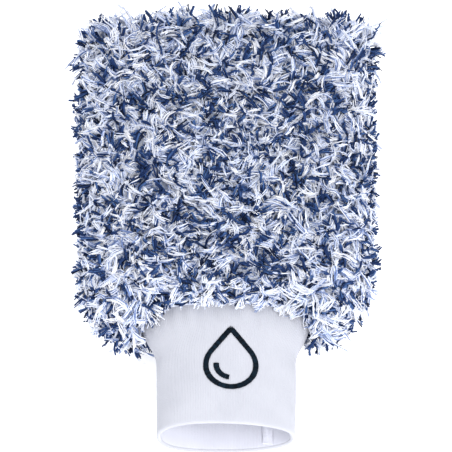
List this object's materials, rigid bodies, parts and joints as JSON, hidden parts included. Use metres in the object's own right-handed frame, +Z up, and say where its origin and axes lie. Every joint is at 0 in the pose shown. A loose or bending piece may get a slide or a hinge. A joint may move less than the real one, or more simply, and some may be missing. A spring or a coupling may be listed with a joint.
{
  "type": "wash mitt",
  "caption": "Soft hand-shaped wash mitt of long two-tone microfibre pile on a sewn, padded body, with a folded ribbed cuff that bends at the wrist.",
  "frame": {"origin": "centre of the footprint, on the surface that the mitt lies on", "axes": "+Y from the cuff towards the finger end, +Z up out of the front face, +X to the right"},
  "size_m": [0.198, 0.3104, 0.0716],
  "materials": {
    "pile": "cut microfibre pile, white with blue yarns",
    "ground_cloth": "warp knit",
    "wadding": "soft needled pad",
    "lining": "smooth tricot",
    "rib_knit": "fine rib knit",
    "white_thread": "spun polyester thread",
    "navy_thread": "satin rayon thread",
    "backing": "bonded backing"
  },
  "bodies": {
    "mitt_body": {"front_pile": "pile", "front_cloth": "ground_cloth", "front_wadding": "wadding", "front_lining": "lining", "back_pile": "pile", "back_cloth": "ground_cloth", "back_wadding": "wadding", "back_lining": "lining", "body_seam": "white_thread", "lining_seam": "white_thread"},
    "cuff": {"rib_cuff": "rib_knit", "cuff_side_seam": "rib_knit", "neck_seam": "white_thread", "emblem_outline": "navy_thread", "emblem_highlight": "navy_thread", "emblem_backing": "backing"}
  },
  "joints": [
    {"name": "wrist_bend", "type": "hinge", "parent": "mitt_body", "child": "cuff", "pos_m": [0, -0.07283, 0.0328], "axis": [-1, 0, 0], "range_deg": [-4, 60], "stiffness_Nm_per_rad": 0.15}
  ]
}
